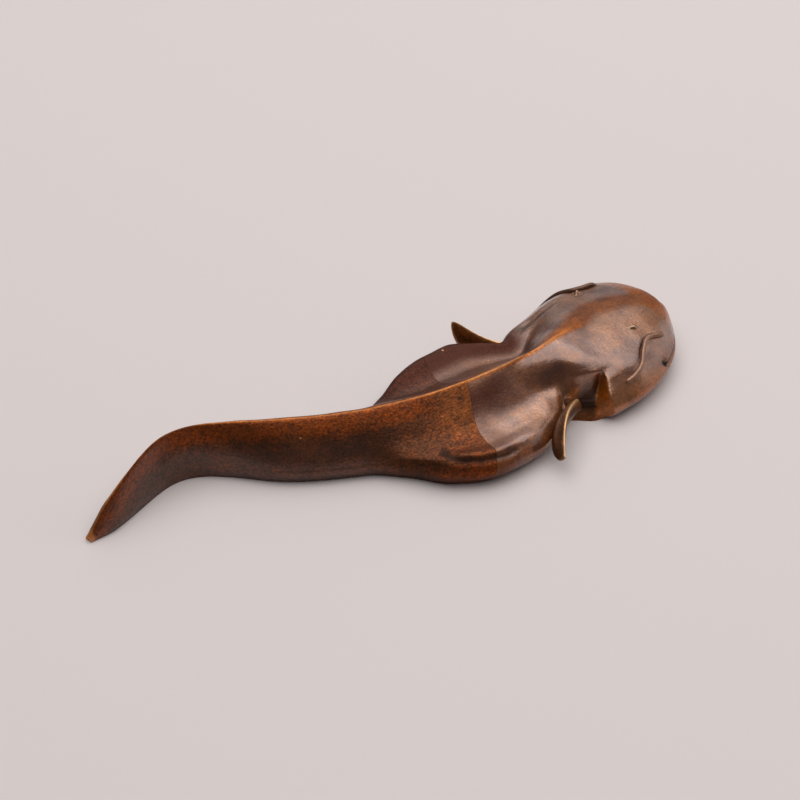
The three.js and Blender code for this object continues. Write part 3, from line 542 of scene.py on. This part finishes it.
def body_piece(name, u, first, last):
    """One casting's skin. Rows follow u along the spine and lean with the joint near it, so that s is u plus
    the lean's tangent times the height over the joint's middle, found by repeating that sum. Columns run from
    the crest down the left flank, across the underside and up the right flank. The relief moves each point
    along its normal."""
    down = np.linspace(0, LAST, COLUMNS_PER_SIDE)
    t = np.concatenate([down, np.full(COLUMNS_UNDER, LAST), down[:0:-1]])
    under = np.linspace(1, -1, COLUMNS_UNDER + 2)[1:-1]
    side = np.concatenate([np.ones(COLUMNS_PER_SIDE), under, -np.ones(COLUMNS_PER_SIDE - 1)])
    u, t = np.broadcast_arrays(u[:, None], t[None, :])
    lean = np.tan(np.radians(JOINT_LEAN)) * fade(np.abs(u - JOINT_AT), 0, JOINT_FADE)
    s = u.copy()
    for _ in range(8):
        s = u + lean * (section(s, t, side)[1] - JOINT_MIDDLE)
    left, up = section(s, t, side)
    points = place(s, side * left, up)
    around = round_from_crest(left, up)
    flank = np.abs(side) * fade(t, LAST - UNDER_EDGE, LAST)
    offset, hollow_film_and_shade, rub_and_highlight, facet, niche = relief(s, t, side, around, up)
    offset = (offset + WAVE_HEIGHT * waviness(points)) * flank
    layers = patina_layers(u, s, t, side, around, hollow_film_and_shade * flank, rub_and_highlight * flank, facet, niche)
    return grid_mesh(name, points + outward(points) * offset[..., None], first, last, layers)


def joint_middle():
    """Point inside the section at the joint from which the whole outline can be seen."""
    up = 2.0
    return place(JOINT_AT + np.tan(np.radians(JOINT_LEAN)) * (up - JOINT_MIDDLE), 0, up)


def trunk():
    """Head and front of the belly, from the joint to the snout; rows crowd towards the snout's tip."""
    back = np.linspace(JOINT_AT + HAIRLINE, SNOUT_FROM, BELLY_ROWS, endpoint=False)
    angle = np.linspace(0, 0.997 * np.pi / 2, HEAD_ROWS)
    rows = np.concatenate([back, SNOUT_FROM + SNOUT_LENGTH * np.sin(angle)])
    return body_piece("bronze_trunk", rows, joint_middle(), place(SNOUT_AT, 0, LIP))


def tail():
    """Tail and rear of the belly, from the tail tip to the joint."""
    rows = np.linspace(0, JOINT_AT - HAIRLINE, TAIL_ROWS)
    tip = skin(np.zeros(2), np.array([0, LAST]), 0).mean(0)
    return body_piece("bronze_tail", rows, tip, joint_middle())


def curve_through(points, count):
    """Catmull-Rom curve through points, at equal steps of its parameter, with its tangents."""
    padded = np.concatenate([[2 * points[0] - points[1]], points, [2 * points[-1] - points[-2]]])
    u = np.linspace(0, len(points) - 1, count)
    i = np.clip(np.floor(u).astype(int), 0, len(points) - 2)
    f = (u - i)[:, None]
    p0, p1, p2, p3 = padded[i], padded[i + 1], padded[i + 2], padded[i + 3]
    v0, v1 = (p2 - p0) / 2, (p3 - p1) / 2
    a, b = 2 * p1 - 2 * p2 + v0 + v1, 3 * p2 - 3 * p1 - 2 * v0 - v1
    tangent = 3 * a * f ** 2 + 2 * b * f + v0
    return a * f ** 3 + b * f ** 2 + v0 * f + p1, tangent / np.linalg.norm(tangent, axis=1, keepdims=True)


def barbel(name, side):
    """Tapered wire along the route on the skin: a circle carried along a curve, thinner towards its free end,
    which is rounded as an ellipse. Its first stretch is the peg, which dives into the lip."""
    seats = [seat(s, t, side) for s, t in barbel_places(side)]
    origin, forward, _, out = seats[0]
    points = [origin + BARBEL_PEG * (forward - out)]
    points += [spot + BARBEL_LIFT * normal for spot, _, _, normal in seats]
    centre, tangent = curve_through(np.array(points), BARBEL_ROWS)
    up = seats[len(seats) // 2][3]
    across = np.cross(tangent, up)
    across /= np.linalg.norm(across, axis=1, keepdims=True)
    upright = np.cross(across, tangent)
    u = np.linspace(0, 1, len(centre))
    end = np.clip((u - BARBEL_ROUND_FROM) / (1.01 * (1 - BARBEL_ROUND_FROM)), 0, 1)
    radius = mix(*BARBEL_RADIUS, u) * np.sqrt(1 - end ** 2)
    angle = np.linspace(0, 2 * np.pi, BARBEL_COLUMNS, endpoint=False)[None, :, None]
    rows = centre[:, None] + radius[:, None, None] * (
        across[:, None] * np.cos(angle) + upright[:, None] * np.sin(angle))
    # Painted highlight along the top of the right wire, as bare metal, and painted shade over the left wire,
    # as near-black film
    rub_and_highlight = 0.3 * bell(np.sin(angle[..., 0]) - 1, 0.6) * (side < 0)
    return grid_mesh(name, rows, centre[0], centre[-1], {"hollow_film_and_shade": 0.5 * (side > 0), "rub_and_highlight": rub_and_highlight})


def fin(name, side):
    """Upright leaf blade: a lens-shaped section carried along a quadratic top edge and hung from it down the
    chord. The chord's length grows smoothly to the widest place and closes at the tip like a superellipse.
    The first rows repeat the root's section down to the end of the tenon."""
    s = GILL_AT - FIN_BEHIND
    root = place(s, side * (WAIST_HALF[0] - FIN_INSET), FIN_RISE * CREST)
    h = heading(s)
    axes = np.array([(-np.cos(h), -np.sin(h), 0), (-side * np.sin(h), side * np.cos(h), 0), (0, 0, 1)])
    start, bow, tip, chord = (np.array(p) @ axes for p in FINS[side][:4])
    widest, blunt, hinge = FINS[side][4:]
    u = np.sin(np.linspace(0, 0.995 * np.pi / 2, FIN_ROWS))[:, None]
    edge = start * (1 - u) ** 2 + 2 * u * (1 - u) * bow + u * u * tip
    tangent = 2 * (1 - u) * (bow - start) + 2 * u * (tip - bow)
    tangent /= np.linalg.norm(tangent, axis=1, keepdims=True)
    closing = (1 - np.clip((u - widest) / (1 - widest), 0, 1) ** blunt) ** (1 / blunt)
    share = mix(FIN_ROOT_SHARE, 1, smooth(u, 0, widest)) * closing
    thick = mix(*FIN_THICK, u) * closing ** 0.5
    inner = np.linspace(1, 0.1, TENON_ROWS)[:, None]
    edge = np.concatenate([edge[:1] + inner * (np.array(FIN_TENON) @ axes), edge])
    share, thick, closing, u, tangent = (
        np.concatenate([np.repeat(v[:1], TENON_ROWS, 0), v]) for v in (share, thick, closing, u, tangent))
    across = np.cross(chord, tangent)
    across /= np.linalg.norm(across, axis=1, keepdims=True)
    angle = np.linspace(0, 2 * np.pi, FIN_COLUMNS, endpoint=False)
    down = (0.5 - 0.5 * np.cos(angle))[None] * share + hinge * (1 - closing)
    bulge = np.sign(np.sin(angle)) * np.abs(np.sin(angle)) ** FIN_LENS
    bulge = bulge * np.where(np.sin(angle) > 0, *FIN_SWELL[side])
    rows = root + edge[:, None] + down[..., None] * chord + (thick / 2 * bulge)[..., None] * across[:, None]
    # Rubbed top edge and tip in bare metal, along the top edge also a painted highlight
    top_edge = bell(angle, FIN_WORN_HIGHLIGHT) + bell(angle - 2 * np.pi, FIN_WORN_HIGHLIGHT)
    rub_and_highlight = np.clip(top_edge + 0.5 * smooth(u, 0.9, 1), 0, 1)
    layers = {"hollow_film_and_shade": 0, "rub_and_highlight": rub_and_highlight, "warm": 1.0 * (side > 0)}
    return grid_mesh(name, rows, rows[0].mean(0), rows[-1].mean(0), layers)


def turned(name, profile, axes, columns, layers):
    """Body of revolution: a profile of (radius, height) turned about the last of the axes."""
    origin, x_axis, y_axis, z_axis = axes
    angle = -np.linspace(0, 2 * np.pi, columns, endpoint=False)[None, :, None]
    radius, up = np.array(profile, float).T[..., None, None]
    rows = origin + up * z_axis + radius * (np.cos(angle) * x_axis + np.sin(angle) * y_axis)
    first, last = (origin + profile[k][1] * z_axis for k in (0, -1))
    return grid_mesh(name, rows, first, last, layers)


def eye(name, side):
    """Low bead on a short stem below the skin. Its top has a lid on the side away from the crest, a narrow
    pit towards the crest and a crease under the lid, all bells of the distance from their middles, on a polar
    grid that closes at the bead's middle."""
    back, t = EYE_SEATS[side]
    origin, forward, across, out = seat(SNOUT_AT - back, t, side)
    stem = [(EYE_STEM, -EYE_STEM_DEPTH), (EYE_STEM, -EYE_BED), (EYE_RADIUS, -EYE_BED)]
    stem_radius, stem_height = np.array(stem).T
    r = np.concatenate([stem_radius, np.linspace(EYE_RADIUS, 0.02, EYE_RINGS)])[:, None]
    below = np.concatenate([stem_height, np.zeros(EYE_RINGS)])[:, None]
    angle = -np.linspace(0, 2 * np.pi, EYE_COLUMNS, endpoint=False)[None, :]
    x, y = r * np.cos(angle), r * np.sin(angle)
    inward = -side * y
    pit = bell(np.hypot(1.9 * x, inward - 0.55), 0.6)
    along, off = 0.77 * x - 0.64 * (inward + 0.3), 0.64 * x + 0.77 * (inward + 0.3)
    lid = bell(np.hypot(0.5 * along, off), 0.38)
    crease = bell(np.hypot(0.5 * along, off + 0.55), 0.22)
    top = (EYE_LID * lid - EYE_PIT * pit - EYE_CREASE * crease) * fade(r, 0.85 * EYE_RADIUS, EYE_RADIUS)
    height = np.where(below < 0, below, top)
    rows = origin + height[..., None] * out + x[..., None] * forward + y[..., None] * across
    # The crease under the lid is darkened as its painted shadow, the pit is orange and a little darker as
    # painted shade, and the lid is bare metal as a painted highlight
    hollow_film_and_shade = np.clip(0.2 * pit + 0.8 * crease, 0, 1)
    layers = {"hollow_film_and_shade": hollow_film_and_shade, "rub_and_highlight": lid * LID_HIGHLIGHT[side], "warm": 1.3 * pit}
    return grid_mesh(name, rows, origin - EYE_STEM_DEPTH * out, origin + top[-1].mean() * out, layers)


def pin():
    """Joint pin with chamfered ends, standing in its hole a little above the underside."""
    h = heading(JOINT_AT)
    ahead, left = np.array([np.cos(h), np.sin(h), 0]), np.array([-np.sin(h), np.cos(h), 0])
    axes = (place(JOINT_AT, 0, 0) + PIN_AHEAD * ahead, ahead, left, np.array([0, 0, 1.0]))
    low, high, chamfer = SEAT_GAP, PIN_HEIGHT, 0.2
    neck = PIN_RADIUS - chamfer
    profile = [(neck, low), (PIN_RADIUS, low + chamfer), (PIN_RADIUS, high - chamfer), (neck, high)]
    return turned("joint_pin", profile, axes, PIN_COLUMNS, {"hollow_film_and_shade": 0, "rub_and_highlight": 0})


def paint(code):
    """Linear colour of an sRGB hex value."""
    value = np.array([int(code[i:i + 2], 16) for i in (1, 3, 5)]) / 255
    linear = np.where(value <= 0.04045, value / 12.92, ((value + 0.055) / 1.055) ** 2.4)
    return (*linear.tolist(), 1.0)


def add(tree, kind, inputs=None, **settings):
    """Adds a shader node, sets its properties, and fills or links its inputs."""
    made = tree.nodes.new("ShaderNode" + kind)
    for key, value in settings.items():
        setattr(made, key, value)
    for key, value in (inputs or {}).items():
        if isinstance(value, bpy.types.NodeSocket):
            tree.links.new(value, made.inputs[key])
        else:
            made.inputs[key].default_value = value
    return made


def per_mm(size):
    """Texture scale at which one feature is size millimetres long, in object coordinates of metres."""
    return 1 / (size * MM)


# Marks in the patina, in millimetres. The liquor is brushed on, which leaves clouds and blotches of about
# these sizes. Casting grain and brush strokes are really 0.1 to 0.2 mm across, too fine to show, so both are
# drawn coarser. Flecks of bare metal stand some way apart.
CLOUD, BLOTCH, GRAIN, FLECKS_APART = 7, 1.8, 0.45, 2.4
STROKE_LENGTH, STROKE_WIDTH = 1.3, 0.4
BUMP_HEIGHT = 0.12
# The two films darken the patina; where their masks lie in creases, folds and on the far side they are
# painted shade
RED_BROWN_FILM_AND_SHADE, BLACK_FILM_AND_SHADE, BARE_FLECK = "#4a2417", "#1d120c", "#c08a5c"
FILM_ROUGHNESS, WAX_ROUGHNESS, WAX_IOR = 0.6, 0.24, 1.8


def patinated_bronze(
        name, deep, body, warm, bright, warm_share, contrast, metallic, rough, wax, even_wax=False):
    """Cast bronze, chased, patinated brown in liver of sulphur and waxed. Thin patina on worked edges lets
    orange metal through, hollows keep a near-black film that is also painted shade, a dark red-brown film is
    in places painted shade, bare metal is in places a painted highlight, and the wax gives a soft neutral
    gloss over all of it. The ground is clouded from deep to body, warm is the orange patina and bright the
    bare metal, also where it paints highlights. Where the wax isn't even it is thin over films and dull
    places."""
    material = bpy.data.materials.new(name)
    material.use_nodes = True
    tree = material.node_tree
    tree.nodes.clear()
    layers = ("hollow_film_and_shade", "rub_and_highlight", "warm", "film_and_shade", "dull", "along", "across")
    hollow_film_and_shade, rub_and_highlight, orange, film_and_shade, dull, along, across = (
        add(tree, "Attribute", attribute_name=layer).outputs["Fac"] for layer in layers)
    coords = add(tree, "TexCoord").outputs["Object"]
    noises = ((CLOUD, 4, 0.65), (BLOTCH, 5, 0.7), (GRAIN, 3, 0.6))
    cloud, blotch, grain = (
        add(tree, "TexNoise", {"Vector": coords, "Scale": per_mm(size), "Detail": detail, "Roughness": fine})
        .outputs["Fac"] for size, detail, fine in noises)
    flow = add(tree, "CombineXYZ", {0: along, 1: across}).outputs[0]
    stroke_scale = (per_mm(STROKE_LENGTH), per_mm(STROKE_WIDTH), 1)
    strokes = add(tree, "Mapping", {"Vector": flow, "Scale": stroke_scale}).outputs[0]
    stroke_noise = {"Vector": strokes, "Scale": 1.0, "Detail": 3, "Roughness": 0.6}
    brush = add(tree, "TexNoise", stroke_noise).outputs["Fac"]
    flecks = add(tree, "TexVoronoi", {"Vector": coords, "Scale": per_mm(FLECKS_APART)}).outputs["Distance"]

    # Ground, orange patina and dark red-brown film, which in places is painted shade, then the grain over
    # them
    cloudy = add(tree, "MapRange", {0: cloud, 1: 0.38, 2: 0.62}).outputs[0]
    ground = add(tree, "Mix", {0: cloudy, 6: paint(deep), 7: paint(body)}, data_type="RGBA").outputs[2]
    patchy = add(tree, "Math", {0: blotch, 1: 2.4, 2: warm_share - 1.2}, operation="MULTIPLY_ADD").outputs[0]
    warmth = add(tree, "Math", {0: orange, 1: 0.85, 2: patchy}, operation="MULTIPLY_ADD", use_clamp=True)
    warmed = add(tree, "Mix", {0: warmth.outputs[0], 6: ground, 7: paint(warm)}, data_type="RGBA").outputs[2]
    shaded = add(tree, "Mix", {0: film_and_shade, 6: warmed, 7: paint(RED_BROWN_FILM_AND_SHADE)}, data_type="RGBA").outputs[2]
    scratch = add(tree, "Math", {0: brush, 1: 0.6, 2: grain}, operation="MULTIPLY_ADD").outputs[0]
    dark, light = 1 - contrast, 1 + contrast
    speckle = add(tree, "MapRange", {0: scratch, 1: 0.55, 2: 1.05, 3: dark, 4: light}).outputs[0]
    over = {"data_type": "RGBA", "blend_type": "MULTIPLY"}
    grained = add(tree, "Mix", {0: 1.0, 6: shaded, 7: speckle}, **over).outputs[2]

    # Hollows' near-black film, which is also painted shade, rubbed metal, which in places is a painted
    # highlight, and flecks
    filmed_and_shaded = add(tree, "Mix", {0: hollow_film_and_shade, 6: grained, 7: paint(BLACK_FILM_AND_SHADE)}, data_type="RGBA").outputs[2]
    uneven = add(tree, "Math", {0: blotch, 1: 1.4, 2: -0.7}, operation="MULTIPLY_ADD").outputs[0]
    touched = add(tree, "Math", {0: uneven, 1: rub_and_highlight}, operation="ADD").outputs[0]
    worn_and_highlit = add(tree, "Math", {0: touched, 1: rub_and_highlight}, operation="MULTIPLY", use_clamp=True).outputs[0]
    # Rubbed bare metal, which on the gill edge, dish rim, fin tops, right barbel and eye lids is a painted
    # highlight
    rubbed_and_highlit = add(tree, "Mix", {0: worn_and_highlit, 6: filmed_and_shaded, 7: paint(bright)}, data_type="RGBA").outputs[2]
    fleck_size = add(tree, "MapRange", {0: cloud, 1: 0.5, 2: 0.7, 3: 0.0, 4: 0.12}).outputs[0]
    fleck = add(tree, "Math", {0: flecks, 1: fleck_size}, operation="LESS_THAN").outputs[0]
    colour = add(tree, "Mix", {0: fleck, 6: rubbed_and_highlit, 7: paint(BARE_FLECK)}, data_type="RGBA").outputs[2]

    # Satin metal, rougher under the films, and the wax
    satin = add(tree, "MapRange", {0: scratch, 1: 0.55, 2: 1.05, 3: rough + 0.1, 4: rough - 0.1}).outputs[0]
    films = add(tree, "Math", {0: film_and_shade, 1: hollow_film_and_shade}, operation="MAXIMUM").outputs[0]
    roughness = add(tree, "Mix", {0: films, 2: satin, 3: FILM_ROUGHNESS}).outputs[0]
    height = add(tree, "Math", {0: blotch, 1: 0.6, 2: scratch}, operation="MULTIPLY_ADD").outputs[0]
    metal_bump, wax_bump = (
        add(tree, "Bump", {"Height": height, "Strength": strength, "Distance": BUMP_HEIGHT * MM}).outputs[0]
        for strength in (0.5, 0.2))
    if not even_wax:
        thin = add(tree, "Math", {0: films, 1: dull}, operation="MAXIMUM").outputs[0]
        wax = add(tree, "MapRange", {0: thin, 3: wax, 4: 0.0}).outputs[0]
    shader = add(tree, "BsdfPrincipled", {
        "Base Color": colour, "Roughness": roughness, "Metallic": metallic, "Normal": metal_bump,
        "Coat Normal": wax_bump, "Coat Weight": wax, "Coat Roughness": WAX_ROUGHNESS, "Coat IOR": WAX_IOR})
    add(tree, "OutputMaterial", {"Surface": shader.outputs[0]})
    return material


def dress(piece, node, material):
    """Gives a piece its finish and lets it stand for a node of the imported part."""
    piece.data.materials.append(material)
    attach(piece, "root")
    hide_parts(node)


# A smooth waxed casting: tan to purple-brown, satin, with broad pale reflections in the wax.
trunk_patina = patinated_bronze(
    "cast_bronze_purple_brown_patina_waxed", deep="#64361f", body="#965d34", warm="#b05e18",
    bright="#c88c58", warm_share=-0.25, contrast=0.3, metallic=0.7, rough=0.34, wax=1.0)
# The same metal with its patina left nearly dry: orange-brown, strongly speckled by the brush, and more matt.
tail_patina = patinated_bronze(
    "cast_bronze_orange_brown_patina_brushed", deep="#472511", body="#5e3218", warm="#763405",
    bright="#c0783c", warm_share=-0.1, contrast=0.65, metallic=0.75, rough=0.45, wax=0.4)
# Handled blades: a dark brown face between edges that fingers have rubbed back to pale metal; along the top
# edge that pale metal is also a painted highlight.
fin_patina = patinated_bronze(
    "cast_bronze_brown_patina_rubbed", deep="#40260f", body="#5c381a", warm="#9c5c28", bright="#e8b47c",
    warm_share=-0.1, contrast=0.3, metallic=0.7, rough=0.34, wax=0.2, even_wax=True)
# Drawn wire is even and plain: one tan, with a painted highlight along the top of the right wire, and the
# left wire darkened as painted shade.
wire_patina = patinated_bronze(
    "drawn_bronze_wire_tan_patina_waxed", deep="#6c442c", body="#8a5e40", warm="#904c14", bright="#b08058",
    warm_share=-0.1, contrast=0.2, metallic=0.75, rough=0.34, wax=0.5)
# A small chased bead: an orange pit darkened as painted shade beside a pale lid painted as a highlight, with
# a painted shadow under the lid.
bead_patina = patinated_bronze(
    "chased_bronze_bead_tan_patina_waxed", deep="#6c442c", body="#8a5e40", warm="#9c4c08", bright="#e0bc98",
    warm_share=-0.1, contrast=0.2, metallic=0.75, rough=0.3, wax=0.5)

dress(trunk(), "trunk_casting", trunk_patina)
dress(tail(), "tail_casting", tail_patina)
dress(pin(), "tail_joint_pin", wire_patina)
for hand, sign in (("left", 1), ("right", -1)):
    dress(fin(f"{hand}_fin_blade", sign), f"{hand}_pectoral_fin", fin_patina)
    dress(barbel(f"{hand}_barbel_wire", sign), f"{hand}_barbel", wire_patina)
    dress(eye(f"{hand}_eye_bead", sign), f"{hand}_eye", bead_patina)


def studio_floor():
    """Plain pale table: a square three metres to each side, a hair under the figure. Its matt paint gives the
    eye an even ground without gloss."""
    mesh = bpy.data.meshes.new("table")
    half, under = 3.0, -0.00003
    corners = [(-half, -half, under), (half, -half, under), (half, half, under), (-half, half, under)]
    mesh.from_pydata(corners, [], [(0, 1, 2, 3)])
    table = bpy.data.objects.new("table", mesh)
    bpy.context.scene.collection.objects.link(table)
    material = bpy.data.materials.new("matt_pale_paint")
    material.use_nodes = True
    shader = material.node_tree.nodes["Principled BSDF"]
    shader.inputs["Base Color"].default_value = paint("#cfc6c5")
    shader.inputs["Roughness"].default_value = 0.9
    mesh.materials.append(material)


def direction(azimuth, elevation):
    """Unit vector from the figure towards a viewer; azimuth 0 looks along +Y."""
    a, e = np.radians(azimuth), np.radians(elevation)
    return Vector((np.sin(a) * np.cos(e), -np.cos(a) * np.cos(e), np.sin(e)))


def softbox(name, azimuth, elevation, distance, size, power, colour):
    """Square lamp that faces the figure from a direction, with its distance and size in millimetres."""
    lamp = bpy.data.lights.new(name, "AREA")
    lamp.energy, lamp.size, lamp.color = power, size * MM, colour
    box = bpy.data.objects.new(name, lamp)
    bpy.context.scene.collection.objects.link(box)
    back = direction(azimuth, elevation)
    box.location = back * distance * MM
    box.rotation_mode = "QUATERNION"
    box.rotation_quaternion = (-back).to_track_quat("-Z", "Y")


def studio_light():
    """Pale surroundings and three softboxes: a broad one overhead, a low weak one at the right of the
    picture, and a weak one behind the figure."""
    world = bpy.data.worlds.new("studio")
    world.use_nodes = True
    background = world.node_tree.nodes["Background"]
    background.inputs["Color"].default_value = (0.93, 0.95, 1.0, 1)
    background.inputs["Strength"].default_value = 0.12
    bpy.context.scene.world = world
    daylight, warmer = (1.0, 0.985, 0.96), (1.0, 0.97, 0.94)
    softbox("overhead_softbox", 130, 82, distance=900, size=1400, power=12.4, colour=daylight)
    softbox("side_softbox", 85, 8, distance=900, size=900, power=2.2, colour=warmer)
    softbox("back_softbox", 154, 36, distance=900, size=800, power=1.4, colour=daylight)


def photo_camera():
    """Camera at the photograph's angle, with its field of view from the focal length in pixels."""
    data = bpy.data.cameras.new("photo_camera")
    data.sensor_width = SENSOR
    data.lens = FOCAL_PIXELS * SENSOR / FRAME_PIXELS
    data.clip_start, data.clip_end = 0.01, 20
    camera = bpy.data.objects.new("photo_camera", data)
    bpy.context.scene.collection.objects.link(camera)
    back = direction(VIEW_AZIMUTH, VIEW_ELEVATION)
    camera.location = (Vector(VIEW_TARGET) + back * VIEW_DISTANCE) * MM
    camera.rotation_mode = "QUATERNION"
    camera.rotation_quaternion = (-back).to_track_quat("-Z", "Y")
    bpy.context.scene.camera = camera


studio_floor()
studio_light()
photo_camera()
bpy.context.scene.view_settings.view_transform = "Standard"
